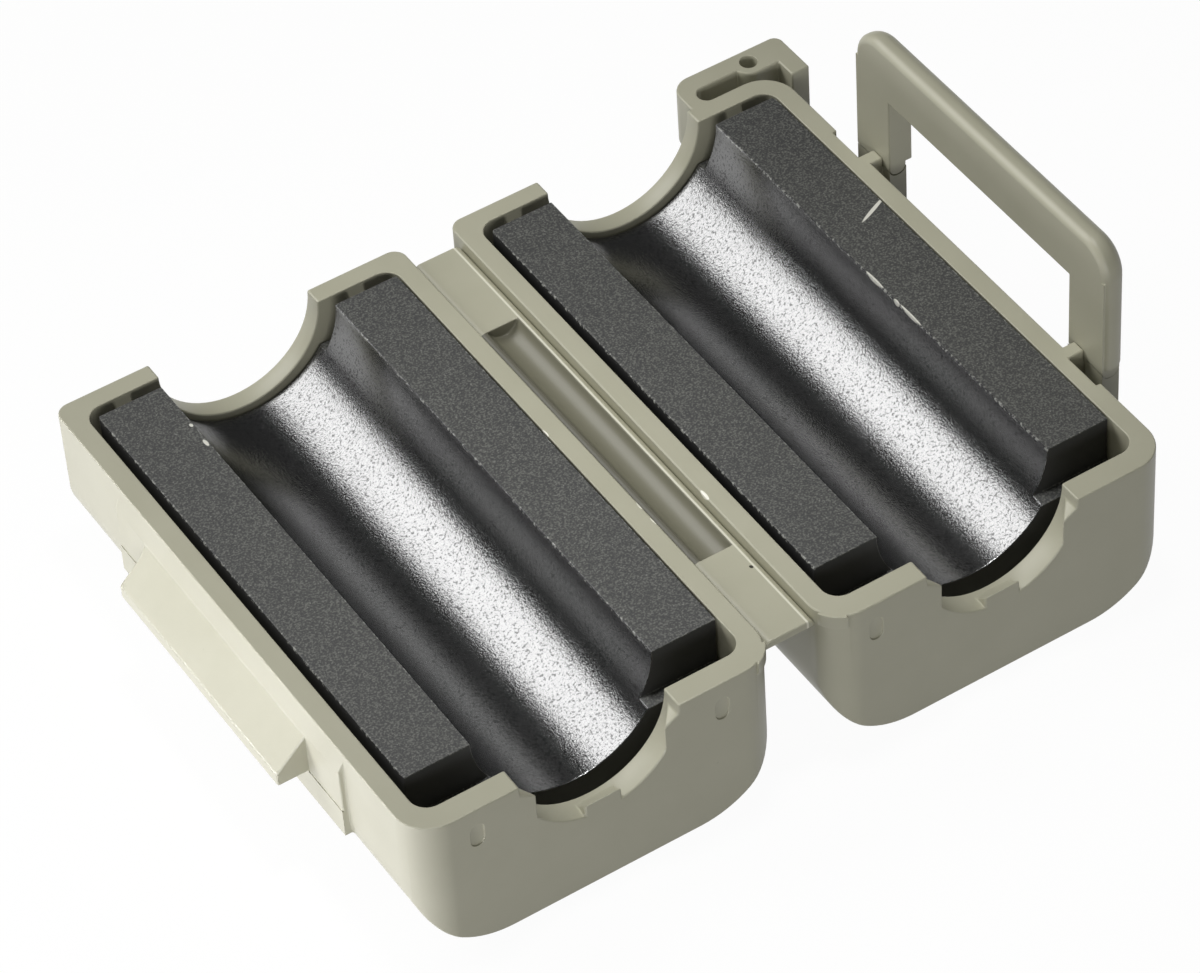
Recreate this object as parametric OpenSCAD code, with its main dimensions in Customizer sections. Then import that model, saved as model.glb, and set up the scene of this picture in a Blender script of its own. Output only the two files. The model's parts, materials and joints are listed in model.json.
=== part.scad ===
// Open clip-on ferrite bead: two nylon trays on a moulded hinge strap, each holding half of a
// ferrite sleeve, with a latch loop on one tray that snaps over a wedge on the other.
// Frame: origin at the middle of the base tray's flat underside, +X towards the lid tray,
// +Y towards the plain cable end, +Z up. Both trays lie open with their rims up.

/* [Case] */
// Length of each tray along the cable
case_l = 36; // [33:0.5:42]
// Width of each tray
case_w = 21; // [19.5:0.5:25]
// Height of each tray from its underside to its rim
tray_h = 9.6; // [9:0.1:12]
// Thickness of the long side walls
side_wall = 1.15; // [0.9:0.05:1.5]
// Thickness of the toothed front wall
front_wall = 1.4; // [1.1:0.1:1.8]
// Thickness of the plain back wall
back_wall = 1.15; // [0.9:0.05:1.6]
// Thickness of the floor
floor_t = 1.2; // [0.9:0.1:1.8]
// Radius of the upright outer corners at the front, and under the tie lug
corner_r = 2; // [1:0.1:2.5]
// Radius of the other upright outer corners at the back
back_corner_r = 0.8; // [0.4:0.1:2]
// Radius of the upright corners inside the tray
pocket_r = 1; // [0.5:0.1:1.5]
// Radius of the long lower edges
belly_r = 5; // [3:0.1:5.5]

/* [Cable entry] */
// Radius of the cable notch in the back wall
notch_r = 4.8; // [4:0.1:5]
// Radius of the cable notch in the front wall
front_notch_r = 4.6; // [4:0.1:5]
// How far the gripping teeth stand in from the front notch
tooth_h = 0.9; // [0.5:0.1:1.2]
// Width of the lowest tooth
tooth_w = 2.1; // [1.2:0.1:3]
// Depth of the side teeth's roots below the rim
tooth_drop = 0.45; // [0.3:0.05:1]
// How much lower the side teeth's tips are than their roots
tooth_slope = 0.65; // [0.2:0.05:1]

/* [Ferrite] */
// Radius of the sleeve's bore
bore_r = 5.25; // [5.1:0.05:5.8]
// How far the front end is set back above its ledge
core_step = 0.8; // [0.4:0.1:1.2]
// How far the back end is set back above its ledge
core_back_step = 0.6; // [0.4:0.1:1.2]
// Depth of the end ledges below the mating face
ledge_drop = 2.9; // [2:0.1:4]
// Play between a half sleeve and each side wall
core_play = 0.3; // [0.1:0.05:0.5]
// How far each half sleeve has slid towards +X in its tray
core_slip = 0.18; // [0:0.02:0.3]
// Space behind each half sleeve, to the back wall
core_back_gap = 0.12; // [0.05:0.01:0.3]
// Space in front of each half sleeve, to the front wall
core_front_gap = 1.53; // [0.2:0.01:2]
// How far the mating face stands above the rim
core_proud = 0.05; // [0:0.01:0.1]
// Width of the nubs that hold the half sleeve down at the back
nub_w = 1; // [0.6:0.1:1.6]
// How far the nubs reach over the ledge
nub_reach = 0.5; // [0.3:0.05:0.6]
// Height of the nubs' upright noses
nub_nose = 1.7; // [0.8:0.1:1.8]
// Height of the ramps above the noses
nub_ramp = 0.9; // [0.5:0.1:0.95]
// Space between the nubs and the ledge under them
nub_clear = 0.1; // [0.05:0.01:0.2]

/* [Hinge strap] */
// Gap between the open trays
hinge_gap = 3; // [2.6:0.1:4]
// How far the strap stops short of the trays' ends
strap_inset = 1.3; // [1.25:0.05:3]
// Thickness of the strap's end plates and radius of its folding edges
strap_t = 0.45; // [0.3:0.05:0.5]
// Running clearance at both folds
fold_clear = 0.06; // [0.04:0.01:0.1]
// Gap between the rims when closed
closed_gap = 0.14; // [0.12:0.01:0.3]
// Length of the thin trough between the end plates
trough_l = 20.2; // [12:0.2:26]
// Depth of the trough
trough_d = 0.75; // [0.5:0.05:0.9]
// Thickness of the trough's wall
trough_t = 0.35; // [0.25:0.05:0.5]
// How far the trough's edges stop short of the fold lines
trough_bank = 0.04; // [0.02:0.01:0.3]

/* [Latch] */
// Overall width of the loop
loop_w = 22.4; // [18:0.2:24]
// Width of the loop's window
window_w = 16.1; // [12:0.1:18]
// Height of the loop's top bar
bar_h = 3.5; // [2:0.1:3.8]
// Thickness of the loop
loop_t = 1.5; // [1.4:0.05:2]
// Thickness of the legs below their step
leg_t = 1.1; // [0.9:0.05:1.3]
// Space between the side wall and the loop
latch_gap = 0.75; // [0.5:0.05:1]
// Radius of the loop's upper corners
loop_r = 2; // [1:0.1:2.7]
// Radius of the loop's rounded outer edge
loop_edge_r = 0.9; // [0.5:0.1:1]
// Radius of the loop's rounded inner edge
loop_lip_r = 0.45; // [0.2:0.05:0.5]
// Depth of the flex line below the rim
flex_drop = 0.5; // [0.2:0.05:0.8]
// Length of the straight leg below the rim
leg_drop = 3.2; // [2.4:0.1:4]
// Height of the step on the loop's outer face above the flex line
leg_step = 0.1; // [0.05:0.05:0.5]
// How much each leg is set in from the loop's side
leg_inset = 0.15; // [0.05:0.05:0.4]
// Depth of the shallow recess in the wall behind each leg
side_recess = 0.25; // [0.1:0.05:0.3]
// Length of the recess past the leg
recess_past = 0.7; // [0.2:0.1:1.5]
// Thickness of the webs that tie the legs to the wall
web_w = 0.85; // [0.5:0.05:1.2]
// How far the webs stand in from the window's edge
web_inset = 0.6; // [0.2:0.05:1]
// Depth of the webs' foot below the rim
web_h = 1.6; // [1.3:0.1:2]
// Side play of the wedge in the loop's window
wedge_play = 0.15; // [0.15:0.05:1]
// How far the wedge stands out from the side wall
wedge_out = 2.1; // [1.4:0.05:2.2]
// Depth of the wedge's top below the rim
wedge_top = 1.2; // [0.8:0.1:2]
// Depth of the wedge's catch face below the rim
wedge_bottom = 4.05; // [3.5:0.05:4.6]
// Height of the flat land at the wedge's tip
wedge_land = 0.85; // [0.5:0.05:1.4]
// Radius of the fillet at the wedge's back end
wedge_fillet = 1; // [0.4:0.1:1.5]
// Play between the catch face and the closed loop
catch_play = 0.06; // [0.05:0.01:0.4]
// How far the raised pad round the wedge stands out
pad_t = 0.3; // [0.2:0.02:0.5]
// How much narrower the pad is than the loop
pad_inset = 0.1; // [0:0.1:1]
// Depth of the pad's top edge below the rim
pad_top = 0.4; // [0.3:0.1:1.2]
// Height of the slope at the pad's top edge
pad_slope = 0.9; // [0.5:0.1:1.5]
// Depth of the pad's foot below the rim
pad_low = 5.9; // [5:0.1:7]
// Height of the fine step across the pad, level with the catch face
pad_lip = 0.05; // [0.02:0.01:0.1]

/* [Corner bands] */
// Thickness of the low bands at the hinge-side front corners
band_t = 0.12; // [0.05:0.01:0.14]
// Height of the bands
band_h = 0.85; // [0.4:0.05:1.2]
// Length of the bands along each wall
band_l = 1.2; // [0.8:0.05:1.25]

/* [Mould marks] */
// Distance of the base's oval marks on the front wall from its middle
mark_x = 7.1; // [6.5:0.1:8]
// Distance of the lid's oval mark on the front wall from its middle
lid_mark_x = 7.7; // [6.5:0.1:8]
// Depth of the marks' centres below the rim
mark_drop = 1.8; // [1.5:0.05:3]
// Width of the marks
mark_w = 0.8; // [0.5:0.05:1]
// Height of the marks
mark_h = 1.5; // [1:0.1:2]
// Depth of the marks
mark_d = 0.1; // [0.05:0.01:0.2]

/* [Tie lug] */
// Height of the lug
lug_h = 3.6; // [2:0.1:4.5]
// Width of the slot between the lug's arm and the back wall
lug_slot = 1.1; // [0.8:0.05:2]
// Thickness of the lug's arm
lug_arm = 1.2; // [0.8:0.05:1.5]
// Distance of the lug's plain end from the tray's middle
lug_left = 5.1; // [5:0.05:6.5]
// Thickness of the lug's plain end beside the slot
lug_cheek = 0.85; // [0.3:0.05:1]
// How far the lug reaches past the side wall
lug_reach = 1.75; // [1.7:0.05:2.5]
// Thickness of the lug's hooked end
lug_hook = 1.15; // [0.8:0.05:1.3]
// How far the hooked end turns back past the back wall's face
lug_turn = 0.9; // [0.4:0.1:1.5]
// Radius of the lug's outer corner at its plain end
lug_r = 1.2; // [0.5:0.05:1.2]
// Radius of the lug's outer corner at its hooked end
lug_hook_r = 0.55; // [0.3:0.05:1]
// Radius of the lug's pin hole
lug_hole_r = 0.5; // [0.3:0.05:0.6]
// Distance of the pin hole from the lug's hooked end
lug_hole_in = 2.5; // [2.3:0.1:4]
// Radius of the boss round the pin hole
lug_boss_r = 0.95; // [0.8:0.05:1.05]

/* [Hidden] */
$fn = 64;

nylon = [0.68, 0.67, 0.58];
ferrite = [0.28, 0.28, 0.27];
// Overlap of joined features, so that they fuse
root = 0.3;
// Clear length of cutters past a face
past = 1;
// The same radius at all four corners
even = [1, 1, 1, 1];

lid_x = case_w + hinge_gap;
front_y = -case_l / 2;
back_y = case_l / 2;
pocket_w = case_w - 2 * side_wall;
pocket_l = case_l - front_wall - back_wall;
pocket_y = (front_wall - back_wall) / 2;

core_w = pocket_w - 2 * core_play;
core_l = pocket_l - core_back_gap - core_front_gap;
core_h = tray_h + core_proud - floor_t;
core_back = back_y - back_wall - core_back_gap;
core_y = core_back - core_l / 2;
core_belly_r = belly_r - side_wall + core_play;

// Nubs sit midway between the notch and the side wall
nub_x = (notch_r + pocket_w / 2) / 2;
nub_low = ledge_drop - core_proud - nub_clear;

// Fold lines: the closed trays line up when both folds have turned a quarter turn
strap_l = case_l - 2 * strap_inset;
fold_x = case_w / 2 + fold_clear + strap_t;
fold_span = hinge_gap - 2 * (fold_clear + strap_t);
fold_z = tray_h - (fold_span - closed_gap) / 2;
trough_half = fold_span / 2 - trough_bank;
trough_r = (trough_half * trough_half + trough_d * trough_d) / (2 * trough_d);

// Latch: the window's upper edge lies just past the catch face when closed
loop_x = case_w / 2 + latch_gap;
window_top = tray_h + wedge_bottom + closed_gap + catch_play;
loop_top = window_top + bar_h;
edge_round = min(loop_edge_r, 0.6 * loop_t);
lip_round = min(loop_lip_r, 0.3 * loop_t);
flex_x = loop_x + leg_t / 2;
flex_z = tray_h - flex_drop;
leg_step_z = flex_z + leg_step;
leg_w = (loop_w - window_w) / 2 - leg_inset;
leg_y = (window_w + leg_w) / 2;
bend_z = tray_h - leg_drop;
wedge_w = window_w - 2 * wedge_play;
pad_l = loop_w - pad_inset;

lug_right = case_w / 2 + lug_reach;
lug_back = back_y + lug_slot + lug_arm;

// Extrudes a profile drawn in X and Z along Y, centred
module along_y(length) {
  rotate([90, 0, 0]) linear_extrude(length, center = true) children();
}

// Centred rectangle with round corners, whose radii go round from the front left
module rounded_rect(w, l, radii) {
  sides = [[-1, -1], [1, -1], [1, 1], [-1, 1]];
  difference() {
    square([w, l], center = true);
    for (i = [0 : 3])
      if (radii[i] > 0)
        translate([sides[i].x * w / 2, sides[i].y * l / 2]) difference() {
          square(2 * radii[i], center = true);
          translate(-radii[i] * sides[i]) circle(radii[i]);
        }
  }
}

// Upright rectangle on y = 0 with its two lower corners rounded
module belly_profile(w, h, r) {
  translate([-w / 2, r]) square([w, h - r]);
  translate([r - w / 2, 0]) square([w - 2 * r, h]);
  for (s = [-1, 1]) translate([s * (w / 2 - r), r]) circle(r);
}

module tray_outside(back_right_r) {
  intersection() {
    along_y(case_l) belly_profile(case_w, tray_h, belly_r);
    linear_extrude(tray_h)
      rounded_rect(case_w, case_l, [corner_r, corner_r, back_right_r, back_corner_r]);
  }
}

module tray_pocket() {
  translate([0, pocket_y, floor_t]) intersection() {
    along_y(pocket_l) belly_profile(pocket_w, tray_h, belly_r - side_wall);
    linear_extrude(tray_h) rounded_rect(pocket_w, pocket_l, pocket_r * even);
  }
}

// Half-round cable notches through both end walls
module cable_notches() {
  translate([0, 0, tray_h]) rotate([-90, 0, 0]) cylinder(back_y + past, r = notch_r);
  translate([0, 0, tray_h]) rotate([90, 0, 0]) cylinder(past - front_y, r = front_notch_r);
}

// Three ramped teeth in the front notch: flush inside, proud at the outer face
module front_teeth() {
  inner_y = front_y + front_wall;
  tip = front_notch_r - tooth_h;
  foot = front_notch_r + root;
  side_low = sqrt(front_notch_r * front_notch_r - tip * tip) + root;
  for (s = [-1, 1])
    intersection() {
      linear_extrude(tray_h) polygon([[s * foot, inner_y], [s * foot, front_y], [s * tip, front_y]]);
      translate([0, front_y, tray_h]) along_y(2 * front_wall + past)
        polygon([
          [s * tip, -side_low],
          [s * foot, -side_low],
          [s * foot, -tooth_drop],
          [s * tip, -tooth_drop - tooth_slope]
        ]);
    }
  translate([0, 0, tray_h]) rotate([90, 0, 90]) linear_extrude(tooth_w, center = true)
    polygon([[inner_y, -foot], [front_y, -foot], [front_y, -tip]]);
}

// Nubs on the back wall that hook over the half sleeve's ledge
module back_nubs() {
  wall = back_y - back_wall;
  tip = wall - nub_reach;
  for (s = [-1, 1])
    translate([s * nub_x, 0, tray_h]) rotate([90, 0, 90]) linear_extrude(nub_w, center = true)
      polygon([
        [wall + root, -nub_low],
        [tip, -nub_low],
        [tip, nub_nose - nub_low],
        [wall, nub_nose + nub_ramp - nub_low],
        [wall + root, nub_nose + nub_ramp - nub_low]
      ]);
}

// Low raised band round the hinge-side front corner, on the side s of the tray
module corner_band(s) {
  translate([0, 0, tray_h - band_h]) linear_extrude(band_h) intersection() {
    difference() {
      rounded_rect(case_w + 2 * band_t, case_l + 2 * band_t, (corner_r + band_t) * even);
      rounded_rect(case_w - root, case_l - root, (corner_r - root / 2) * even);
    }
    translate([s * case_w / 2, front_y]) square(2 * band_l, center = true);
  }
}

// Shallow oval sunk mark on the front wall, at x from the tray's middle
module front_mark(x) {
  run = (mark_h - mark_w) / 2;
  translate([x, front_y, tray_h - mark_drop]) along_y(2 * mark_d) {
    square([mark_w, 2 * run], center = true);
    for (e = [-1, 1]) translate([0, e * run]) circle(mark_w / 2);
  }
}

module tray(back_right_r) {
  difference() {
    tray_outside(back_right_r);
    tray_pocket();
    cable_notches();
  }
  front_teeth();
  back_nubs();
}

// Raised pad on the outer wall: its face stays upright where the wall curves in below it
module catch_pad() {
  wall = -case_w / 2;
  face = wall - pad_t;
  along_y(pad_l) polygon([
    [wall + 2 * root, tray_h - pad_top],
    [wall, tray_h - pad_top],
    [face, tray_h - pad_top - pad_slope],
    [face, tray_h - wedge_bottom],
    [face - pad_lip, tray_h - wedge_bottom],
    [face - pad_lip, tray_h - pad_low],
    [wall + 2 * root, tray_h - pad_low]
  ]);
}

// Long wedge: a ramp, a short land and a flat catch face underneath, with a fillet at its back end
module catch_wedge() {
  wall = -case_w / 2;
  intersection() {
    along_y(wedge_w + 2 * wedge_fillet) polygon([
      [wall + root, tray_h - wedge_top],
      [wall, tray_h - wedge_top],
      [wall - wedge_out, tray_h - wedge_bottom + wedge_land],
      [wall - wedge_out, tray_h - wedge_bottom],
      [wall + root, tray_h - wedge_bottom]
    ]);
    linear_extrude(tray_h) {
      translate([wall - wedge_out, -wedge_w / 2]) square([wedge_out + root, wedge_w]);
      translate([wall - wedge_fillet, wedge_w / 2]) difference() {
        translate([0, -root]) square([wedge_fillet + root, wedge_fillet + root]);
        translate([0, wedge_fillet]) circle(wedge_fillet);
      }
    }
  }
}

// Hooked legs that carry the loop: straight strip, quarter bend and root in the side wall
module latch_legs() {
  wall = case_w / 2 - side_recess;
  bend_in = loop_x - wall;
  bend_out = bend_in + leg_t;
  web_y = window_w / 2 + web_inset + web_w / 2;
  difference() {
    for (s = [-1, 1]) {
      translate([0, s * leg_y, 0]) along_y(leg_w) {
        translate([loop_x, bend_z]) square([leg_t, flex_z - bend_z]);
        difference() {
          translate([wall, bend_z]) circle(bend_out);
          translate([wall, bend_z]) circle(bend_in);
          translate([wall - 2 * bend_out, bend_z - bend_out]) square([2 * bend_out, 2 * bend_out]);
          translate([wall - past, bend_z]) square([bend_out + 2 * past, bend_out + past]);
        }
        translate([wall - 2 * root, bend_z - bend_out]) square([2 * root, leg_t]);
      }
      // Web up to the rim
      translate([wall - root, s * web_y - web_w / 2, tray_h - web_h])
        cube([loop_x - wall + 2 * root, web_w, web_h]);
    }
    // Room for the loop, round the flex line and above it
    translate([flex_x, 0, flex_z]) rotate([90, 0, 0])
      cylinder(loop_w + 2 * past, r = leg_t / 2 + fold_clear, center = true);
    translate([loop_x - fold_clear, -loop_w / 2 - past, flex_z])
      cube([loop_t + past, loop_w + 2 * past, flex_drop + past]);
  }
}

// Outline of the tie lug, with its two outer corners rounded
module lug_outline() {
  start = back_y - lug_turn;
  translate([(lug_left + lug_right) / 2, (start + lug_back) / 2])
    rounded_rect(lug_right - lug_left, lug_back - start, [0, 0, lug_hook_r, lug_r]);
}

// Hooked tie lug at the outer back corner, flush with the rim
module tie_lug() {
  hook_x = lug_right - lug_hook;
  slot_x = lug_left + lug_cheek + lug_slot / 2;
  slot_y = back_y + lug_slot / 2;
  hole = [lug_right - lug_hole_in, lug_back - lug_boss_r];
  translate([0, 0, tray_h - lug_h]) linear_extrude(lug_h) difference() {
    union() {
      difference() {
        lug_outline();
        translate([slot_x, slot_y]) circle(lug_slot / 2);
        translate([slot_x, back_y]) square([hook_x - slot_x, lug_slot]);
        // Open side of the slot, round the tray's corner
        translate([case_w / 2 - corner_r, back_y - lug_turn - past])
          square([hook_x - case_w / 2 + corner_r, lug_turn + past]);
      }
      translate(hole) circle(lug_boss_r);
      translate([hole.x, hole.y - lug_boss_r]) square([hook_x + root - hole.x, 2 * lug_boss_r]);
    }
    translate(hole) circle(lug_hole_r);
  }
}

module base_shell() {
  color(nylon) {
    difference() {
      tray(back_corner_r);
      front_mark(-mark_x);
      front_mark(mark_x);
    }
    catch_pad();
    catch_wedge();
    corner_band(1);
  }
}

module lid_shell() {
  recess_y = window_w / 2 + web_inset;
  color(nylon) translate([lid_x, 0, 0]) {
    difference() {
      tray(corner_r);
      front_mark(-lid_mark_x);
      for (s = [0, 1]) mirror([0, s, 0])
        translate([case_w / 2 - side_recess, recess_y, bend_z - leg_t - latch_gap])
          cube([past, loop_w / 2 + recess_past - recess_y, tray_h]);
    }
    latch_legs();
    tie_lug();
    corner_band(-1);
  }
}

// Half of the strap's section: thin plate with its upper edge rounded about the fold line
module strap_profile() {
  intersection() {
    union() {
      square([fold_span, strap_t]);
      circle(strap_t);
      translate([fold_span, 0]) circle(strap_t);
    }
    translate([-strap_t, 0]) square([fold_span + 2 * strap_t, strap_t]);
  }
}

// Strap with round edges on both fold lines: two end plates and a thin half-round trough between them
module hinge_strap() {
  trough_at = [fold_span / 2, strap_t - trough_d + trough_r];
  color(nylon) translate([fold_x, 0, fold_z]) difference() {
    union() {
      along_y(strap_l) strap_profile();
      along_y(trough_l + 2 * trough_t) intersection() {
        translate(trough_at) circle(trough_r + trough_t);
        translate([-strap_t / 2, -2 * trough_d]) square([fold_span + strap_t, 2 * trough_d + strap_t / 2]);
      }
    }
    along_y(trough_l) translate(trough_at) circle(trough_r);
  }
}

// Edge of the loop: its section from the middle out, with the inner and outer edges rounded
module loop_edge(reach) {
  square([loop_t, reach - edge_round]);
  square([loop_t - edge_round, reach - lip_round]);
  translate([lip_round, 0]) square([loop_t - edge_round - lip_round, reach]);
  translate([lip_round, reach - lip_round]) circle(lip_round);
  translate([loop_t - edge_round, reach - edge_round]) intersection() {
    circle(edge_round);
    square(edge_round);
  }
}

// Loop: legs, top bar and round corners of one rounded section, with a window and a knuckle on the flex line
module latch_loop() {
  corner_y = loop_w / 2 - loop_r;
  color(nylon) translate([lid_x + loop_x, 0, 0]) difference() {
    union() {
      translate([0, 0, leg_step_z]) linear_extrude(loop_top - loop_r - leg_step_z) {
        loop_edge(loop_w / 2);
        mirror([0, 1]) loop_edge(loop_w / 2);
      }
      translate([0, 0, leg_step_z]) along_y(2 * corner_y) loop_edge(loop_top - leg_step_z);
      for (s = [-1, 1])
        translate([0, s * corner_y, loop_top - loop_r]) rotate([0, 90, 0]) rotate_extrude()
          mirror([1, -1]) loop_edge(loop_r);
      along_y(loop_w - 2 * leg_inset) {
        translate([0, flex_z]) square([leg_t, loop_top - loop_r - flex_z]);
        translate([leg_t / 2, flex_z]) circle(leg_t / 2);
      }
    }
    translate([-past, -window_w / 2, 0]) cube([loop_t + 2 * past, window_w, window_top]);
  }
}

// Half sleeve: block with rounded lower edges and corners, half-round bore and a ledge at each end
module half_core() {
  translate([core_slip, core_y, floor_t]) difference() {
    intersection() {
      along_y(core_l) difference() {
        belly_profile(core_w, core_h, core_belly_r);
        translate([0, core_h]) circle(bore_r);
      }
      linear_extrude(core_h) rounded_rect(core_w, core_l, pocket_r * even);
    }
    translate([0, -core_l / 2, core_h])
      cube([core_w + 2 * past, 2 * core_step, 2 * ledge_drop], center = true);
    translate([0, core_l / 2, core_h])
      cube([core_w + 2 * past, 2 * core_back_step, 2 * ledge_drop], center = true);
  }
}

module base_core() {
  color(ferrite) half_core();
}

module lid_core() {
  color(ferrite) translate([lid_x, 0, 0]) half_core();
}

base_shell();
lid_shell();
hinge_strap();
latch_loop();
base_core();
lid_core();
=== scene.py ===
"""Looks of an open clip-on ferrite bead: moulded nylon case, sintered ferrite half sleeves, studio light."""

import json
import logging
import math
from dataclasses import dataclass
from enum import Enum

import bmesh
import bpy
import numpy as np
from mathutils import Matrix, Vector


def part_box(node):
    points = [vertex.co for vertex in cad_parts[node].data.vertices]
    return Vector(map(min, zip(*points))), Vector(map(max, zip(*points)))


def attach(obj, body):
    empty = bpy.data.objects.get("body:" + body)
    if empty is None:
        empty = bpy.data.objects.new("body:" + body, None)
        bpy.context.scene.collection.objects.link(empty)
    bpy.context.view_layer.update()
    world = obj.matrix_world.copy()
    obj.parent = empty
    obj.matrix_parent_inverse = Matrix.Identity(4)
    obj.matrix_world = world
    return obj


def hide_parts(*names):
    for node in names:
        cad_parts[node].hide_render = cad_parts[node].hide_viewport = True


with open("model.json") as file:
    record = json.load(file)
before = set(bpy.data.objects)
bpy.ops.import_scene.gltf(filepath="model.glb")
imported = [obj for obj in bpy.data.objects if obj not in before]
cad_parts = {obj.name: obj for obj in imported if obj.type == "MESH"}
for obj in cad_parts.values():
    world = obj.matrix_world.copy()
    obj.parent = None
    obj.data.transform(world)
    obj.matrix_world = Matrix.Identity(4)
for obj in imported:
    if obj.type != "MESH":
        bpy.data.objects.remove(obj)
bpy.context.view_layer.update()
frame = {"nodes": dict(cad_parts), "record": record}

LOG = logging.getLogger("ferrite_bead")
MM = 0.001
MERGE_MM = 0.0005
FLAT_DEG = 0.5
WHITE = "#FFFFFF"
PALE_NICK = "#EEECDC"
BRIGHT_NICK = "#F6F4E6"
DARK_SPECK = "#2E2B22"
# a Mix node set to colours has these settings, takes its two colours at sockets 6 and 7, and gives this output
COLOURS = {"data_type": "RGBA"}
MIXED = 2

Tree = bpy.types.NodeTree
Node = bpy.types.Node
Link = tuple[Node, str | int]


class Slot(Enum):
    """Material slots of the record."""

    NYLON = "nylon"
    FERRITE = "ferrite"


def linear(hex_code: str) -> tuple[float, float, float, float]:
    """Turns an sRGB hex colour into linear light.

    Args:
        hex_code: Six hex digits with a leading hash.

    Returns:
        Linear red, green, blue and an alpha of one.
    """
    parts = (int(hex_code[i : i + 2], 16) / 255 for i in (1, 3, 5))
    red, green, blue = (c / 12.92 if c <= 0.04045 else ((c + 0.055) / 1.055) ** 2.4 for c in parts)
    return red, green, blue, 1.0


def per_metre(size_mm: float) -> float:
    """Texture scale, in cells for each metre, for a pattern of a real size in millimetres."""
    return 1 / (size_mm * MM)


def add_node(tree: Tree, kind: str, settings: dict[str, object] | None = None, **inputs: object) -> Node:
    """Adds one shader node with its settings, values and links.

    Args:
        tree: The material's node tree.
        kind: Blender's type name of the node.
        settings: Attributes of the node itself.
        inputs: Socket values by name, with _ for a space, or an index as _0; a (node, output) pair is a link.

    Returns:
        The new node.
    """
    node = tree.nodes.new(kind)
    for name, value in (settings or {}).items():
        setattr(node, name, value)
    for name, value in inputs.items():
        key = int(name[1:]) if name.startswith("_") else name.replace("_", " ")
        if isinstance(value, tuple) and value and isinstance(value[0], Node):
            tree.links.new(value[0].outputs[value[1]], node.inputs[key])
        else:
            node.inputs[key].default_value = value
    return node


def nearest_gap(tree: Tree, value: Link, lines: tuple[float, ...]) -> Link:
    """Measures how far a coordinate is from the nearest of some lines.

    Args:
        tree: The material's node tree.
        value: The output that gives the coordinate.
        lines: The lines' own coordinates, in metres.

    Returns:
        The output of the distance.
    """
    gaps: list[Link] = []
    for line in lines:
        gap = add_node(tree, "ShaderNodeMath", {"operation": "SUBTRACT"}, _0=value, _1=line)
        off = add_node(tree, "ShaderNodeMath", {"operation": "ABSOLUTE"}, _0=(gap, "Value"))
        gaps.append((off, "Value"))
    nearest = gaps[0]
    for other in gaps[1:]:
        least = add_node(tree, "ShaderNodeMath", {"operation": "MINIMUM"}, _0=other, _1=nearest)
        nearest = (least, "Value")
    return nearest


def speck_mask(tree: Tree, place: Node, cell_mm: float, reach: tuple[float, float], share: float) -> Link:
    """Sprinkles round specks, one to a cell.

    Args:
        tree: The material's node tree.
        place: The Texture Coordinate node.
        cell_mm: Size of a cell.
        reach: A speck's outer and inner radius, as shares of the cell, between which it fades.
        share: How strong a speck is at its middle.

    Returns:
        The output that is at most the share in a speck and nought elsewhere.
    """
    cells = add_node(tree, "ShaderNodeTexVoronoi", Vector=(place, "Object"), Scale=per_metre(cell_mm))
    rim, core = reach
    speck = add_node(
        tree,
        "ShaderNodeMapRange",
        Value=(cells, "Distance"),
        From_Min=rim,
        From_Max=core,
        To_Max=share,
    )
    return speck, "Result"


def new_material(name: str) -> tuple[bpy.types.Material, Tree, Node]:
    """Makes an empty material with a Principled shader.

    Args:
        name: The material's name.

    Returns:
        The material, its node tree and its shader.
    """
    material = bpy.data.materials.new(name)
    material.use_nodes = True
    tree = material.node_tree
    tree.nodes.clear()
    shader = add_node(tree, "ShaderNodeBsdfPrincipled")
    add_node(tree, "ShaderNodeOutputMaterial", Surface=(shader, "BSDF"))
    return material, tree, shader


@dataclass(frozen=True)
class Streak:
    """One small mark, such as a chipped edge, a nick in a rim or a whisker of moulding flash."""

    start_mm: tuple[float, float]
    end_mm: tuple[float, float]
    wide_mm: float
    deep_mm: float = 0.3
    colour: str = "#D2D1C6"
    solid_share: float = 0.8

    def paint(self, tree: Tree, place: Node, top: float, under: Link) -> Link:
        """Lays the mark over a colour, as a slim ellipse.

        Args:
            tree: The material's node tree.
            place: The Texture Coordinate node.
            top: Height of the face it lies on.
            under: The output of the colour without the mark.

        Returns:
            The output of the colour with the mark.
        """
        start, end = Vector(self.start_mm) * MM, Vector(self.end_mm) * MM
        run, middle = end - start, (start + end) / 2
        offset = add_node(
            tree,
            "ShaderNodeVectorMath",
            {"operation": "SUBTRACT"},
            _0=(place, "Object"),
            _1=(middle.x, middle.y, top),
        )
        turned = add_node(
            tree,
            "ShaderNodeVectorRotate",
            {"rotation_type": "Z_AXIS"},
            Vector=(offset, "Vector"),
            Angle=-math.atan2(run.y, run.x),
        )
        shares = (2 / run.length, 2 / (self.wide_mm * MM), 1 / (self.deep_mm * MM))
        scaled = add_node(
            tree, "ShaderNodeVectorMath", {"operation": "MULTIPLY"}, _0=(turned, "Vector"), _1=shares
        )
        reach = add_node(tree, "ShaderNodeVectorMath", {"operation": "LENGTH"}, _0=(scaled, "Vector"))
        mark = add_node(
            tree, "ShaderNodeMapRange", Value=(reach, "Value"), From_Min=1.0, From_Max=self.solid_share
        )
        over = add_node(
            tree, "ShaderNodeMix", COLOURS, Factor=(mark, "Result"), _6=under, _7=linear(self.colour)
        )
        return over, MIXED


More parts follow.
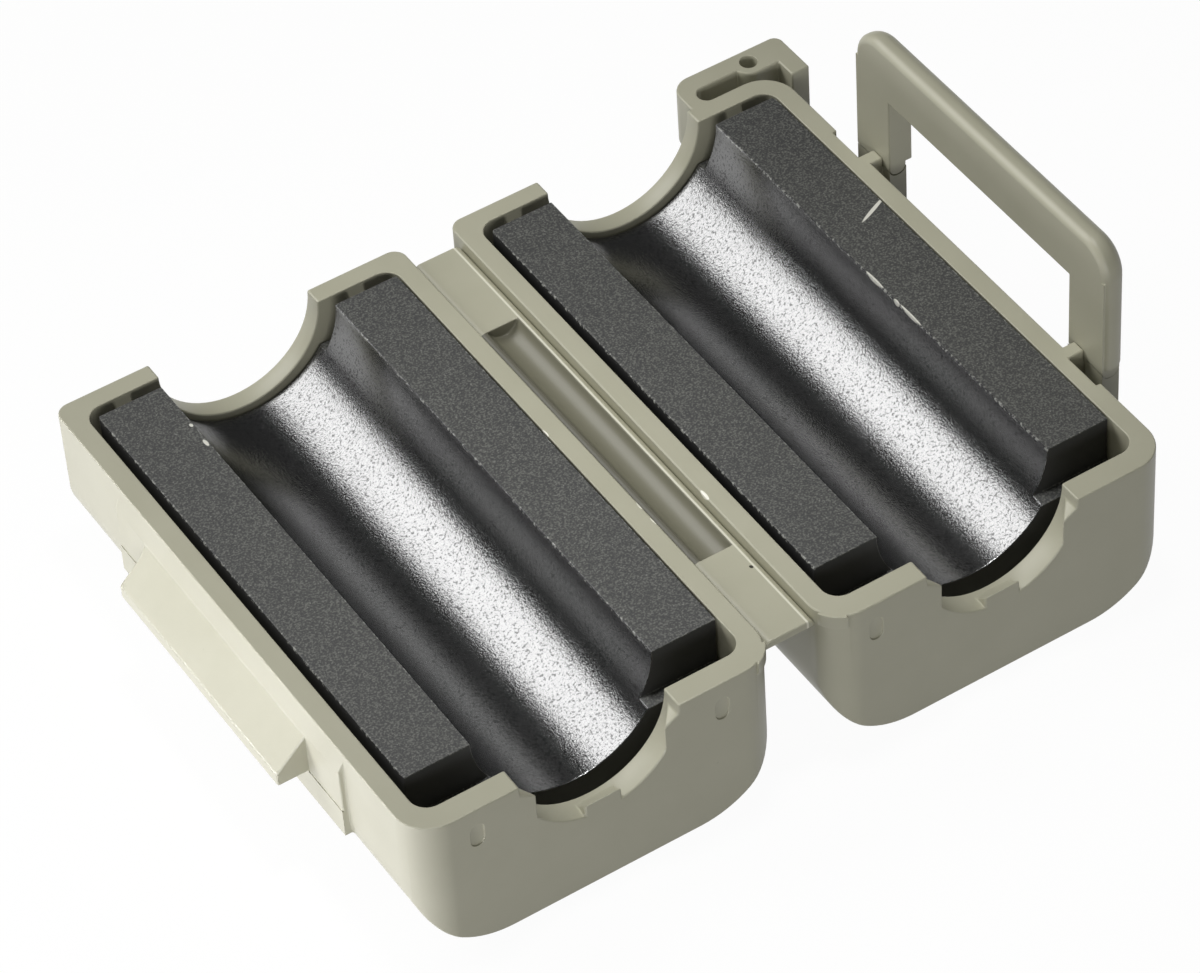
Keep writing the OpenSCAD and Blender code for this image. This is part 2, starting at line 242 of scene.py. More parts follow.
@dataclass(frozen=True)
class MouldedNylon:
    """Polyamide 6 from a spark-eroded mould: warm grey, satin, with a faint fine grain and flow mottling."""

    top: float
    marks: tuple[Streak, ...]
    name: str = "moulded_nylon"
    colour: str = "#B3B19D"
    shade: str = "#A9A792"
    dirt: str = "#4A463A"
    roughness: float = 0.42
    ior: float = 1.53
    mottle_mm: float = 3.0
    # the mould's grain is finer than this, and is drawn coarser so that it shows
    grain_mm: float = 0.12
    grain_height_mm: float = 0.004
    grain_strength: float = 0.6
    # one small speck of dirt to a cell of this size
    speck_mm: float = 5.0
    speck_reach: tuple[float, float] = (0.03, 0.015)
    speck_share: float = 0.6

    def make(self) -> bpy.types.Material:
        """Builds the material.

        Returns:
            The finished material.
        """
        material, tree, shader = new_material(self.name)
        place = add_node(tree, "ShaderNodeTexCoord")
        grain = add_node(
            tree, "ShaderNodeTexNoise", Vector=(place, "Object"), Scale=per_metre(self.grain_mm), Detail=2.0
        )
        bump = add_node(
            tree,
            "ShaderNodeBump",
            Height=(grain, "Fac"),
            Distance=self.grain_height_mm * MM,
            Strength=self.grain_strength,
        )
        colour = self._tint(tree, place)
        for mark in self.marks:
            colour = mark.paint(tree, place, self.top, colour)
        node, output = colour
        tree.links.new(node.outputs[output], shader.inputs["Base Color"])
        tree.links.new(bump.outputs["Normal"], shader.inputs["Normal"])
        shader.inputs["Roughness"].default_value = self.roughness
        shader.inputs["IOR"].default_value = self.ior
        return material

    def _tint(self, tree: Tree, place: Node) -> Link:
        """Mottles the warm grey and sprinkles a few dark specks of dirt over it.

        Args:
            tree: The material's node tree.
            place: The Texture Coordinate node.

        Returns:
            The output of the colour.
        """
        mottle = add_node(
            tree, "ShaderNodeTexNoise", Vector=(place, "Object"), Scale=per_metre(self.mottle_mm), Detail=4.0
        )
        grey = add_node(
            tree,
            "ShaderNodeMix",
            COLOURS,
            Factor=(mottle, "Fac"),
            _6=linear(self.colour),
            _7=linear(self.shade),
        )
        specks = speck_mask(tree, place, self.speck_mm, self.speck_reach, self.speck_share)
        dirty = add_node(
            tree, "ShaderNodeMix", COLOURS, Factor=specks, _6=(grey, MIXED), _7=linear(self.dirt)
        )
        return dirty, MIXED


@dataclass(frozen=True)
class HingeNylon(MouldedNylon):
    """The same nylon at the hinge, with painted shade over the thin film in the trough and a pale fold line,
    whitened by bending and brightened by a painted highlight.
    """

    name: str = "hinge_nylon"
    # painted shade: the thin film in the trough is coloured darker for the shade it lies in, darkest on the
    # bank by the base
    painted_trough_shade: str = "#777564"
    painted_bank_shade: str = "#5F5D4E"
    # the fold line's pale colour is partly whitening from bending and partly a painted highlight on the
    # knuckle's rounding
    whitening_and_highlight: str = "#DEDCCB"
    trough_mm: float = 20.2
    end_blur_mm: float = 0.04
    side_blur_mm: float = 0.05
    bank_mm: tuple[float, float] = (0.4, 0.05)
    line_mm: float = 0.16
    base_x: float = 0.0
    lid_x: float = 0.0

    def _tint(self, tree: Tree, place: Node) -> Link:
        """Paints shade into the trough's colour, darkest on the base's side, and paints the lid's fold line
        pale, partly as whitening from bending and partly as a painted highlight.

        Args:
            tree: The material's node tree.
            place: The Texture Coordinate node.

        Returns:
            The output of the colour.
        """
        plain = super()._tint(tree, place)
        axes = add_node(tree, "ShaderNodeSeparateXYZ", Vector=(place, "Object"))
        half = self.trough_mm / 2 * MM
        ends = add_node(
            tree,
            "ShaderNodeMapRange",
            Value=nearest_gap(tree, (axes, "Y"), (0.0,)),
            From_Min=half + self.end_blur_mm * MM,
            From_Max=half,
        )
        side = add_node(
            tree,
            "ShaderNodeMapRange",
            Value=(axes, "X"),
            From_Min=self.lid_x + self.side_blur_mm * MM,
            From_Max=self.lid_x,
        )
        inside = add_node(
            tree, "ShaderNodeMath", {"operation": "MULTIPLY"}, _0=(ends, "Result"), _1=(side, "Result")
        )
        far, near = (self.base_x + size * MM for size in self.bank_mm)
        edge = add_node(tree, "ShaderNodeMapRange", Value=(axes, "X"), From_Min=far, From_Max=near)
        # painted shade: the trough's colour, darker still towards the bank on the base's side
        painted_trough_shade = add_node(
            tree,
            "ShaderNodeMix",
            COLOURS,
            Factor=(edge, "Result"),
            _6=linear(self.painted_trough_shade),
            _7=linear(self.painted_bank_shade),
        )
        shaded = add_node(
            tree, "ShaderNodeMix", COLOURS, Factor=(inside, "Value"), _6=plain, _7=(painted_trough_shade, MIXED)
        )
        # the fold line: pale whitening from bending together with a painted highlight
        reach = self.line_mm / 2 * MM
        off = nearest_gap(tree, (axes, "X"), (self.lid_x + reach,))
        fold = add_node(tree, "ShaderNodeMapRange", Value=off, From_Min=reach, From_Max=reach / 2)
        creased_and_highlit = add_node(
            tree,
            "ShaderNodeMix",
            COLOURS,
            Factor=(fold, "Result"),
            _6=(shaded, MIXED),
            _7=linear(self.whitening_and_highlight),
        )
        return creased_and_highlit, MIXED


@dataclass(frozen=True)
class SinteredFerrite:
    """Sintered nickel-zinc ferrite: dull, speckled ground faces, pale chips and a painted highlight along the
    edges, and a glossy bore.
    """

    name: str
    low: Vector
    high: Vector
    bore_r: float
    streaks: tuple[Streak, ...]
    face_colour: str = "#2A2B27"
    face_light: str = "#585953"
    face_dark: str = "#0E0F0E"
    speck_colour: str = "#A6A7A0"
    skin_colour: str = "#0E0F0F"
    face_roughness: float = 0.65
    skin_roughness: float = 0.21
    ior: float = 2.8
    face_shine: float = 0.2
    skin_shine: float = 0.43
    pit_shine: float = 0.14
    # the crystals are finer than these sizes, and are drawn coarser so that they show
    grit_mm: float = 0.11
    grit_stops: tuple[float, float, float] = (0.38, 0.5, 0.66)
    speck_mm: float = 0.34
    speck_reach: tuple[float, float] = (0.15, 0.06)
    speck_share: float = 0.3
    pit_mm: float = 0.14
    pit_stops: tuple[float, float] = (0.54, 0.67)
    grain_mm: float = 0.1
    grain_height_mm: float = 0.016
    face_grain: float = 0.15
    bore_blur_mm: tuple[float, float] = (0.02, 0.06)
    ledge_mm: float = 2.9
    level_blur_mm: tuple[float, float] = (0.1, 0.05)
    # a broken pale line along the upper edges: chips, and a painted highlight of the edges catching light
    chip_and_glint_mm: float = 0.1
    chip_and_glint_depth_mm: tuple[float, float] = (0.2, 0.1)
    broken_line_mm: float = 0.22
    broken_line_stops: tuple[float, float] = (0.54, 0.62)

    @property
    def middle_x(self) -> float:
        """Place of the bore's axis across the half sleeve."""
        return (self.low.x + self.high.x) / 2

    def make(self) -> bpy.types.Material:
        """Builds the material.

        Returns:
            The finished material.
        """
        material, tree, shader = new_material(self.name)
        place = add_node(tree, "ShaderNodeTexCoord")
        outside = self._outside_mask(tree, place)
        ground = self._ground_mask(tree, place, outside)
        body = add_node(
            tree,
            "ShaderNodeMix",
            COLOURS,
            Factor=ground,
            _6=linear(self.skin_colour),
            _7=self._face_colour(tree, place),
        )
        # pale chips and a painted edge highlight laid over the body's colour
        chipped_and_glinting = add_node(
            tree,
            "ShaderNodeMix",
            COLOURS,
            Factor=self._chip_and_glint_mask(tree, place),
            _6=(body, MIXED),
            _7=linear(self.speck_colour),
        )
        colour: Link = (chipped_and_glinting, MIXED)
        for streak in self.streaks:
            colour = streak.paint(tree, place, self.high.z, colour)
        node, output = colour
        rough = add_node(
            tree, "ShaderNodeMix", Factor=outside, _2=self.skin_roughness, _3=self.face_roughness
        )
        grain = add_node(
            tree, "ShaderNodeTexNoise", Vector=(place, "Object"), Scale=per_metre(self.grain_mm), Detail=3.0
        )
        height = add_node(tree, "ShaderNodeMix", Factor=outside, _2=1.0, _3=self.face_grain)
        rise = add_node(
            tree, "ShaderNodeMath", {"operation": "MULTIPLY"}, _0=(grain, "Fac"), _1=(height, "Result")
        )
        bump = add_node(
            tree, "ShaderNodeBump", Height=(rise, "Value"), Distance=self.grain_height_mm * MM
        )
        shine = self._shine(tree, place, outside)
        tree.links.new(node.outputs[output], shader.inputs["Base Color"])
        tree.links.new(rough.outputs["Result"], shader.inputs["Roughness"])
        tree.links.new(bump.outputs["Normal"], shader.inputs["Normal"])
        tree.links.new(shine.outputs["Result"], shader.inputs["Specular IOR Level"])
        shader.inputs["IOR"].default_value = self.ior
        return material

    def _face_colour(self, tree: Tree, place: Node) -> Link:
        """Makes fine grey grit with scattered lighter crystals, as on a ground face.

        Args:
            tree: The material's node tree.
            place: The Texture Coordinate node.

        Returns:
            The output of the colour.
        """
        grit = add_node(
            tree, "ShaderNodeTexNoise", Vector=(place, "Object"), Scale=per_metre(self.grit_mm), Detail=2.0
        )
        speckle = add_node(tree, "ShaderNodeValToRGB", Fac=(grit, "Fac"))
        dark, plain, light = self.grit_stops
        stops = speckle.color_ramp.elements
        stops[0].position, stops[1].position = dark, light
        stops[0].color, stops[1].color = linear(self.face_dark), linear(self.face_light)
        stops.new(plain).color = linear(self.face_colour)
        specks = speck_mask(tree, place, self.speck_mm, self.speck_reach, self.speck_share)
        sparkling = add_node(
            tree,
            "ShaderNodeMix",
            COLOURS,
            Factor=specks,
            _6=(speckle, "Color"),
            _7=linear(self.speck_colour),
        )
        return sparkling, MIXED

    def _shine(self, tree: Tree, place: Node, outside: Link) -> Node:
        """Gives full shine to the fired skin and little to its pits, which stay dark inside the highlight.

        Args:
            tree: The material's node tree.
            place: The Texture Coordinate node.
            outside: The output that is nought in the bore.

        Returns:
            The node whose result is the specular level.
        """
        pits = add_node(
            tree, "ShaderNodeTexNoise", Vector=(place, "Object"), Scale=per_metre(self.pit_mm), Detail=2.0
        )
        start, end = self.pit_stops
        skin = add_node(
            tree,
            "ShaderNodeMapRange",
            Value=(pits, "Fac"),
            From_Min=start,
            From_Max=end,
            To_Min=self.skin_shine,
            To_Max=self.pit_shine,
        )
        return add_node(tree, "ShaderNodeMix", Factor=outside, _2=(skin, "Result"), _3=self.face_shine)

    def _outside_mask(self, tree: Tree, place: Node) -> Link:
        """Finds all that lies outside the fired bore, by its distance from the bore's axis.

        Args:
            tree: The material's node tree.
            place: The Texture Coordinate node.

        Returns:
            The output that is nought in the bore and one elsewhere.
        """
        axis = (self.middle_x, 0.0, self.high.z)
        offset = add_node(
            tree, "ShaderNodeVectorMath", {"operation": "SUBTRACT"}, _0=(place, "Object"), _1=axis
        )
        across = add_node(
            tree,
            "ShaderNodeVectorMath",
            {"operation": "MULTIPLY"},
            _0=(offset, "Vector"),
            _1=(1.0, 0.0, 1.0),
        )
        reach = add_node(tree, "ShaderNodeVectorMath", {"operation": "LENGTH"}, _0=(across, "Vector"))
        near, far = (self.bore_r + size * MM for size in self.bore_blur_mm)
        mask = add_node(tree, "ShaderNodeMapRange", Value=(reach, "Value"), From_Min=near, From_Max=far)
        return mask, "Result"

    def _ground_mask(self, tree: Tree, place: Node, outside: Link) -> Link:
        """Finds the gritty mating faces and the ledges at both ends, by their height.

        Args:
            tree: The material's node tree.
            place: The Texture Coordinate node.
            outside: The output that is nought in the bore.

        Returns:
            The output that is one on the gritty faces and nought elsewhere.
        """
        axes = add_node(tree, "ShaderNodeSeparateXYZ", Vector=(place, "Object"))
        levels = (self.high.z, self.high.z - self.ledge_mm * MM)
        far, near = (size * MM for size in self.level_blur_mm)
        flat = add_node(
            tree,
            "ShaderNodeMapRange",
            Value=nearest_gap(tree, (axes, "Z"), levels),
            From_Min=far,
            From_Max=near,
        )
        mask = add_node(
            tree, "ShaderNodeMath", {"operation": "MULTIPLY"}, _0=(flat, "Result"), _1=outside
        )
        return mask, "Value"

    def _chip_and_glint_mask(self, tree: Tree, place: Node) -> Link:
        """Finds a broken pale line along the long upper edges: small chips, where the fresh break is pale, and
        a painted highlight where the edges catch light.

        Args:
            tree: The material's node tree.
            place: The Texture Coordinate node.

        Returns:
            The output that is one in the chips and nought elsewhere.
        """
        axes = add_node(tree, "ShaderNodeSeparateXYZ", Vector=(place, "Object"))
        edges = (self.low.x, self.middle_x - self.bore_r, self.middle_x + self.bore_r, self.high.x)
        close = add_node(
            tree,
            "ShaderNodeMapRange",
            Value=nearest_gap(tree, (axes, "X"), edges),
            From_Min=self.chip_and_glint_mm * MM,
            From_Max=0.0,
        )
        below, above = (self.high.z - size * MM for size in self.chip_and_glint_depth_mm)
        upper = add_node(tree, "ShaderNodeMapRange", Value=(axes, "Z"), From_Min=below, From_Max=above)
        line_breaks = add_node(
            tree, "ShaderNodeTexNoise", Vector=(place, "Object"), Scale=per_metre(self.broken_line_mm), Detail=3.0
        )
        start, end = self.broken_line_stops
        mask: Link = (
            add_node(tree, "ShaderNodeMapRange", Value=(line_breaks, "Fac"), From_Min=start, From_Max=end),
            "Result",
        )
        for limit in (close, upper):
            both = add_node(
                tree, "ShaderNodeMath", {"operation": "MULTIPLY"}, _0=(limit, "Result"), _1=mask
            )
            mask = (both, "Value")
        return mask


def select_only(obj: bpy.types.Object) -> None:
    """Makes an object the only selected and active one.

    Args:
        obj: The object.
    """
    bpy.ops.object.select_all(action="DESELECT")
    obj.select_set(True)
    bpy.context.view_layer.objects.active = obj


def copy_of_node(node: str, name: str) -> bpy.types.Object:
    """Copies a CAD node's mesh into a new object, merged and with its flat faces whole.

    Args:
        node: Name of the CAD node.
        name: Name of the new piece.

    Returns:
        The new piece, at the origin.
    """
    mesh = frame["nodes"][node].data.copy()
    mesh.name = name
    mesh.materials.clear()
    piece = bpy.data.objects.new(name, mesh)
    bpy.context.scene.collection.objects.link(piece)
    select_only(piece)
    bpy.ops.object.mode_set(mode="EDIT")
    bpy.ops.mesh.select_all(action="SELECT")
    bpy.ops.mesh.remove_doubles(threshold=MERGE_MM * MM)
    bpy.ops.mesh.dissolve_limited(angle_limit=math.radians(FLAT_DEG))
    bpy.ops.object.mode_set(mode="OBJECT")
    if "custom_normal" in mesh.attributes:
        mesh.attributes.remove(mesh.attributes["custom_normal"])
    return piece


@dataclass
class EdgeRounder:
    """Rounds the sharp edges of a piece, each no wider than the faces beside it have room for."""

    width_mm: float
    segments: int = 3
    sharp_deg: float = 28
    straight_deg: float = 150
    share: float = 0.45
    # lengths in metres below which a run is nought, two sides don't overlap, and a side isn't ahead
    least_run: float = 1e-9
    least_overlap: float = 1e-8
    least_depth: float = 1e-7

    def apply(self, piece: bpy.types.Object) -> None:
        """Rounds the sharp edges and smooths the curved faces.

        Args:
            piece: The mesh object.
        """
        self._weigh(piece.data)
        select_only(piece)
        bevel = piece.modifiers.new("rounding", "BEVEL")
        bevel.width = self.width_mm * MM
        bevel.segments = self.segments
        bevel.limit_method = "WEIGHT"
        bevel.use_clamp_overlap = False
        bevel.loop_slide = False
        bpy.ops.object.modifier_apply(modifier=bevel.name)
        bpy.ops.object.shade_smooth_by_angle(angle=math.radians(self.sharp_deg))
        weighted = piece.modifiers.new("weighting", "WEIGHTED_NORMAL")
        weighted.keep_sharp = True
        bpy.ops.object.modifier_apply(modifier=weighted.name)

    def _weigh(self, mesh: bpy.types.Mesh) -> None:
        """Writes each sharp edge's share of the full width to the mesh.

        Args:
            mesh: The piece's mesh.
        """
        work = bmesh.new()
        work.from_mesh(mesh)
        layer = work.edges.layers.float.new("bevel_weight_edge")
        turn = math.radians(self.sharp_deg)
        sharp = [e for e in work.edges if e.is_manifold and e.calc_face_angle() > turn]
        room = {e: min(self._room(loop) for loop in e.link_loops) for e in sharp}
        for chain in self._chains(sharp):
            least = min(room[e] for e in chain)
            for edge in chain:
                edge[layer] = least / (self.width_mm * MM)
        work.to_mesh(mesh)
        work.free()

    def _room(self, loop: bmesh.types.BMLoop) -> float:
        """Finds how far an edge can move into one face.

        Args:
            loop: The edge's side on that face.

        Returns:
            The distance, at most the full width.
        """
        ring = list(loop.face.loops)
        turn = ring.index(loop)
        points = np.array([item.vert.co for item in ring[turn:] + ring[:turn]])
        start = points[0]
        along = points[1] - start
        length = float(np.linalg.norm(along))
        along = along / length
        inward = np.cross(np.array(loop.face.normal), along)
        reach, depth = (points - start) @ along, (points - start) @ inward
        limit = self.width_mm * MM
        straight = math.cos(math.radians(180 - self.straight_deg))
        after = 2 % len(ring)
        for run, rise in ((reach[-1], depth[-1]), (length - reach[after], depth[after])):
            if rise > 0 and run > -straight * math.hypot(run, rise):
                limit = min(limit, self.share * rise)
        near, far = reach[2:-1], reach[3:]
        low, high = depth[2:-1], depth[3:]
        span = np.where(np.abs(far - near) < self.least_run, self.least_run, far - near)
        first, last = np.clip((0 - near) / span, 0, 1), np.clip((length - near) / span, 0, 1)
        starts, stops = np.minimum(near, far), np.maximum(near, far)
        facing = (starts < length - self.least_overlap) & (stops > self.least_overlap)
        closest = np.minimum(low + first * (high - low), low + last * (high - low))
        ahead = closest[facing & (closest > self.least_depth)]
        return min(limit, self.share * float(ahead.min())) if ahead.size else limit

    def _chains(self, sharp: list[bmesh.types.BMEdge]) -> list[list[bmesh.types.BMEdge]]:
        """Groups the sharp edges that run on into each other.

        Args:
            sharp: All sharp edges.

        Returns:
            Lists of edges that share one width.
        """
        left = set(sharp)
        straight = math.radians(self.straight_deg)
        chains = []
        while left:
            chain, todo = [], [left.pop()]
            while todo:
                edge = todo.pop()
                chain.append(edge)
                for vert in edge.verts:
                    way = edge.other_vert(vert).co - vert.co
                    for near in vert.link_edges:
                        if near in left and way.angle(near.other_vert(vert).co - vert.co) > straight:
                            left.discard(near)
                            todo.append(near)
            chains.append(chain)
        return chains


def joint_at(name: str) -> Vector:
    """Finds a joint's place in the row frame.

    Args:
        name: The joint's name.

    Returns:
        A point on its axis.

    Raises:
        KeyError: If the record has no such joint.
    """
    for joint in frame["record"]["behaviour"]["joints"]:
        if joint["name"] == name:
            return Vector(joint["pos_m"])
    raise KeyError(name)


@dataclass
class Moulding:
    """One nylon piece of the case, rounded where the mould rounds it."""

    node: str
    body: str
    name: str
    edge_mm: float = 0.12

    def build(self, nylon: bpy.types.Material) -> bpy.types.Object:
        """Makes, dresses and mounts the piece.

        Args:
            nylon: The case's finish.

        Returns:
            The finished piece.
        """
        piece = copy_of_node(self.node, self.name)
        self.close_up(piece.data)
        EdgeRounder(self.edge_mm).apply(piece)
        piece.data.materials.append(nylon)
        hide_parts(self.node)
        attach(piece, self.body)
        return piece

    def close_up(self, mesh: bpy.types.Mesh) -> None:
        """Closes the running clearance of a bend, so that the moulding looks whole; plain pieces have none.

        Args:
            mesh: The piece's mesh.
        """


@dataclass
class LidMoulding(Moulding):
    """The lid tray, whose latch legs run up to the loop's knuckle."""

    leg_mm: float = 1.1
    clear_mm: float = 0.06
    left_mm: float = 0.02
    near_mm: float = 0.004
    level_mm: float = 0.01
    leg_slack: float = 1.001

    def close_up(self, mesh: bpy.types.Mesh) -> None:
        """Brings the legs' hollow ends and the webs up to the knuckle.

        Args:
            mesh: The piece's mesh.
        """
        axis = joint_at("latch_flex")
        half = self.leg_mm / 2 * MM
        old, new = half + self.clear_mm * MM, half + self.left_mm * MM
        near = self.near_mm * MM
        for vertex in mesh.vertices:
            x, z = vertex.co.x - axis.x, vertex.co.z - axis.z
            if z < self.level_mm * MM and abs(math.hypot(x, z) - old) < near:
                if abs(x) <= half * self.leg_slack:
                    vertex.co.z = axis.z - math.sqrt(new * new - x * x)
                else:
                    vertex.co.x = axis.x + math.copysign(new, x)
            elif z > 0 and abs(x + old) < near:
                vertex.co.x = axis.x - new


@dataclass
class StrapMoulding(Moulding):
    """The hinge strap, whose thin edges run into both trays."""

    edge_r_mm: float = 0.45
    clear_mm: float = 0.06
    left_mm: float = 0.006
    level_mm: float = 0.001

    def close_up(self, mesh: bpy.types.Mesh) -> None:
        """Draws both folding edges out to the trays' walls.

        Args:
            mesh: The piece's mesh.
        """
        grow = (self.edge_r_mm + self.clear_mm - self.left_mm) / self.edge_r_mm
        for name, side in (("strap_fold", -1), ("lid_fold", 1)):
            axis = joint_at(name)
            for vertex in mesh.vertices:
                x = vertex.co.x - axis.x
                if side * x > 0 and vertex.co.z - axis.z > -self.level_mm * MM:
                    vertex.co.x = axis.x + x * grow


@dataclass
class HalfSleeve:
    """One ferrite half sleeve, with crisp ground edges."""

    node: str
    body: str
    name: str
    streaks: tuple[Streak, ...]
    bore_r_mm: float = 5.25
    edge_mm: float = 0.07
    segments: int = 2

    def build(self) -> bpy.types.Object:
        """Makes, dresses and mounts the half sleeve.

        Returns:
            The finished piece.
        """
        low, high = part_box(self.node)
        piece = copy_of_node(self.node, self.name)
        EdgeRounder(self.edge_mm, segments=self.segments).apply(piece)
        ferrite = SinteredFerrite(f"{self.name}_sintered", low, high, self.bore_r_mm * MM, self.streaks)
        piece.data.materials.append(ferrite.make())
        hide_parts(self.node)
        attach(piece, self.body)
        return piece


@dataclass(frozen=True)
class Softbox:
    """One soft rectangular lamp that faces the object."""

    name: str
    direction: tuple[float, float, float]
    distance_mm: float
    size_mm: tuple[float, float]
    watts: float
    long_axis: tuple[float, float, float]
    colour: str = WHITE
    spread_deg: float = 180

    def hang(self, target: Vector) -> None:
        """Puts the lamp in the scene.

        Args:
            target: The point it faces.
        """
        lamp = bpy.data.lights.new(self.name, "AREA")
        lamp.shape = "RECTANGLE"
        lamp.size, lamp.size_y = (s * MM for s in self.size_mm)
        lamp.energy = self.watts
        lamp.spread = math.radians(self.spread_deg)
        lamp.color = linear(self.colour)[:3]
        back = Vector(self.direction).normalized()
        across = Vector(self.long_axis)
        across = (across - back * across.dot(back)).normalized()
        place = Matrix((across, back.cross(across), back)).transposed().to_4x4()
        place.translation = target + back * self.distance_mm * MM
        obj = bpy.data.objects.new(self.name, lamp)
        obj.matrix_world = place
        obj.visible_camera = False
        bpy.context.scene.collection.objects.link(obj)


# chipped edges of the base's half sleeve
BASE_STREAKS = (
    Streak((-9.0, 15.6), (-9.1, 15.1), 0.2),
    Streak((-5.23, 12.9), (-5.2, 12.6), 0.2),
    Streak((-5.24, 11.5), (-5.22, 10.9), 0.22),
)
# a whisker of flash and chips along the bore's edge on the lid's half sleeve
LID_STREAKS = (
    Streak((33.6, 6.1), (31.35, 5.05), 0.24),
    Streak((29.47, 1.95), (29.47, 0.25), 0.16),
    Streak((29.45, -0.65), (29.35, -1.3), 0.26),
    Streak((29.48, -1.15), (29.46, -3.2), 0.14),
)
# nicks in the trays' rims beside the hinge
RIM_MARKS = (
    Streak((10.5, -5.1), (10.44, -5.8), 0.2, colour=PALE_NICK),
    Streak((10.42, -6.5), (10.44, -7.1), 0.12, colour=PALE_NICK),
    Streak((9.33, 1.98), (9.37, 1.34), 0.16, colour=PALE_NICK),
    Streak((13.56, -6.35), (13.55, -7.2), 0.22, colour=BRIGHT_NICK),
)
# a speck of dirt on the strap's front plate
PLATE_MARKS = (Streak((12.86, -11.8), (12.96, -12.05), 0.2, colour=DARK_SPECK),)

LAMPS = (
    Softbox("key_softbox", (-0.444, 0.607, 0.658), 300, (270, 130), 0.6, (-0.818, 0, -0.575)),
    Softbox("left_card", (-1.0, 0.0, -0.118), 62, (64, 4), 0.032, (0, 1, 0), "#F2F2FF"),
    Softbox("front_fill", (-0.45, -0.87, 0.2), 420, (300, 120), 0.6, (1, 0, 0)),
    Softbox("top_spot", (0.05, 0.05, 1.0), 160, (24, 24), 0.0067, (1, 0, 0), spread_deg=40),
)


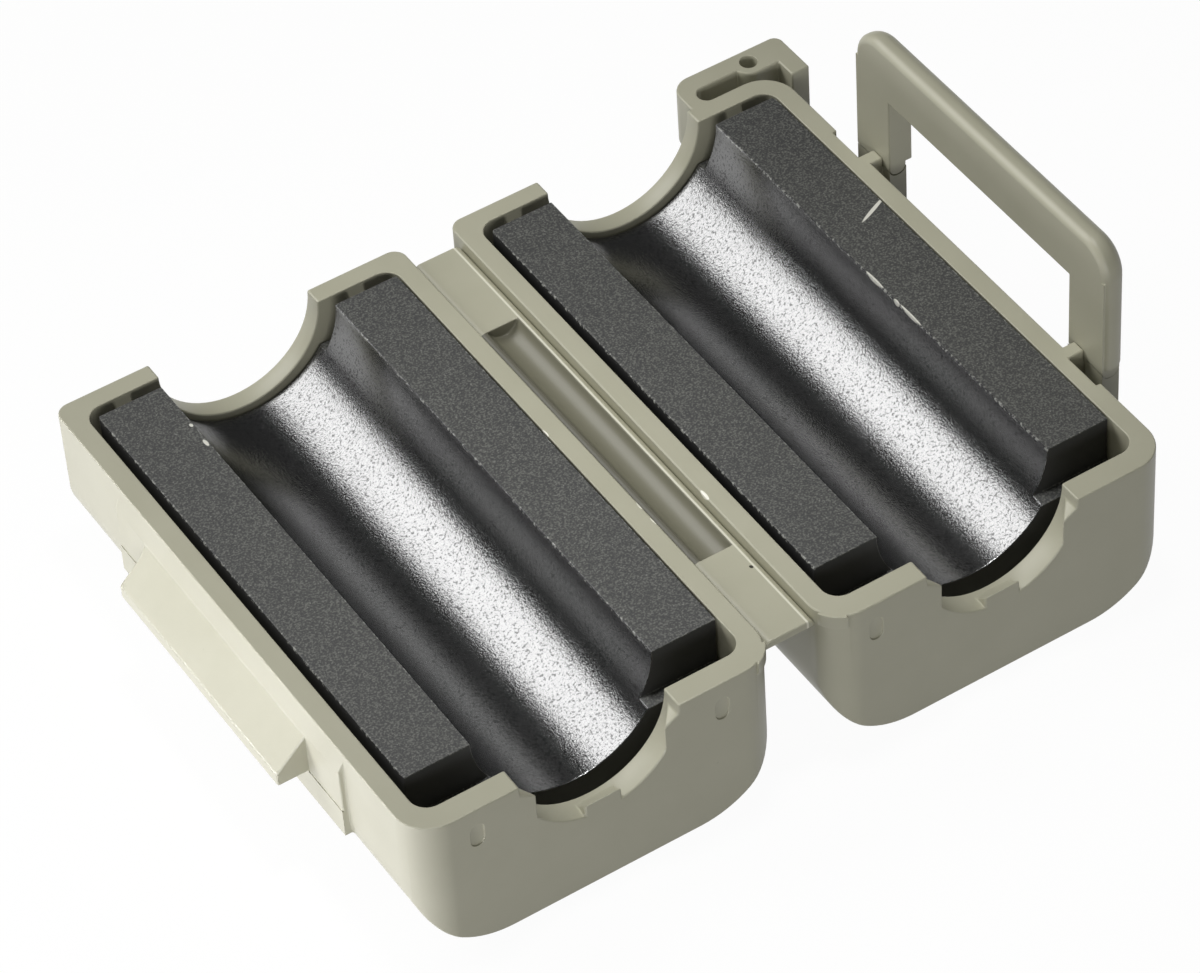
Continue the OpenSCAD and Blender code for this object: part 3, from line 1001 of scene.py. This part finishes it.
@dataclass
class Studio:
    """Camera, lamps and white floor."""

    azimuth_deg: float = -29.836
    elevation_deg: float = 45.567
    roll_deg: float = -4.142
    lens_mm: float = 166.57
    sensor_mm: float = 36.0
    clip_m: tuple[float, float] = (0.01, 20)
    target_mm: tuple[float, float, float] = (9.56, -3.2, 9.6)
    distance_mm: float = 281.2
    floor_mm: float = 4000
    # the floor lies a hair below the trays, so that their flat undersides don't share its plane
    floor_drop_mm: float = 0.02
    floor_glow: float = 0.8
    glow_strength: float = 1.2
    floor_colour: str = "#7A7A78"
    surround: float = 0.06

    def build(self) -> None:
        """Makes the stage."""
        self._camera()
        self._floor()
        self._world()
        for lamp in LAMPS:
            lamp.hang(Vector(self.target_mm) * MM)
        bpy.context.scene.view_settings.view_transform = "Standard"

    def _camera(self) -> None:
        """Places the camera at the photograph's viewing angle."""
        turn, rise, roll = map(math.radians, (self.azimuth_deg, self.elevation_deg, self.roll_deg))
        right = Vector((math.cos(turn), math.sin(turn), 0))
        level = Vector((math.sin(turn), -math.cos(turn), 0))
        back = level * math.cos(rise) + Vector((0, 0, math.sin(rise)))
        up = back.cross(right)
        turned_right = right * math.cos(roll) + up * math.sin(roll)
        turned_up = up * math.cos(roll) - right * math.sin(roll)
        place = Matrix((turned_right, turned_up, back)).transposed().to_4x4()
        place.translation = (Vector(self.target_mm) + back * self.distance_mm) * MM
        lens = bpy.data.cameras.new("camera")
        lens.sensor_width = self.sensor_mm
        lens.sensor_fit = "HORIZONTAL"
        lens.lens = self.lens_mm
        lens.clip_start, lens.clip_end = self.clip_m
        camera = bpy.data.objects.new("camera", lens)
        camera.matrix_world = place
        bpy.context.scene.collection.objects.link(camera)
        bpy.context.scene.camera = camera

    def _floor(self) -> None:
        """Lays a floor that shows as white to the camera and keeps a light shadow."""
        bpy.ops.object.select_all(action="DESELECT")
        level = (0, 0, -self.floor_drop_mm * MM)
        bpy.ops.mesh.primitive_plane_add(size=self.floor_mm * MM, location=level)
        floor = bpy.context.active_object
        floor.name = "floor"
        material = bpy.data.materials.new("white_table")
        material.use_nodes = True
        tree = material.node_tree
        tree.nodes.clear()
        card = add_node(tree, "ShaderNodeBsdfDiffuse", Color=linear(self.floor_colour))
        glow = add_node(tree, "ShaderNodeEmission", Color=linear(WHITE), Strength=self.glow_strength)
        path = add_node(tree, "ShaderNodeLightPath")
        seen: Link = (path, "Is Camera Ray")
        for ray in ("Is Glossy Ray", "Is Transmission Ray"):
            most = add_node(tree, "ShaderNodeMath", {"operation": "MAXIMUM"}, _0=seen, _1=(path, ray))
            seen = (most, "Value")
        share = add_node(tree, "ShaderNodeMath", {"operation": "MULTIPLY"}, _0=seen, _1=self.floor_glow)
        blend = add_node(
            tree, "ShaderNodeMixShader", _0=(share, "Value"), _1=(card, "BSDF"), _2=(glow, "Emission")
        )
        add_node(tree, "ShaderNodeOutputMaterial", Surface=(blend, "Shader"))
        floor.data.materials.append(material)

    def _world(self) -> None:
        """Sets a soft white surround."""
        world = bpy.data.worlds.new("surround")
        bpy.context.scene.world = world
        world.use_nodes = True
        tree = world.node_tree
        tree.nodes.clear()
        path = add_node(tree, "ShaderNodeLightPath")
        strength = add_node(
            tree, "ShaderNodeMix", Factor=(path, "Is Camera Ray"), _2=self.surround, _3=1.0
        )
        sky = add_node(
            tree, "ShaderNodeBackground", Color=linear(WHITE), Strength=(strength, "Result")
        )
        add_node(tree, "ShaderNodeOutputWorld", Surface=(sky, "Background"))


def main() -> None:
    """Builds the bead and its stage."""
    logging.basicConfig(level=logging.INFO)
    Studio().build()
    nylon = MouldedNylon(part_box("base_shell")[1].z, RIM_MARKS).make()
    base_fold, lid_fold = joint_at("strap_fold"), joint_at("lid_fold")
    plate_top = lid_fold.z + StrapMoulding.edge_r_mm * MM
    hinge_nylon = HingeNylon(plate_top, PLATE_MARKS, base_x=base_fold.x, lid_x=lid_fold.x).make()
    mouldings = [
        (Moulding("base_shell", "base", "base_case"), nylon),
        (LidMoulding("lid_shell", "lid", "lid_case"), nylon),
        (StrapMoulding("hinge_strap", "strap", "hinge"), hinge_nylon),
        (Moulding("latch_loop", "latch", "loop"), nylon),
    ]
    for moulding, finish in mouldings:
        piece = moulding.build(finish)
        LOG.info("%s: %d faces", piece.name, len(piece.data.polygons))
    sleeves = [
        HalfSleeve("base_core", "base", "base_ferrite", BASE_STREAKS),
        HalfSleeve("lid_core", "lid", "lid_ferrite", LID_STREAKS),
    ]
    for sleeve in sleeves:
        piece = sleeve.build()
        LOG.info("%s: %d faces", piece.name, len(piece.data.polygons))


if __name__ == "__main__":
    main()
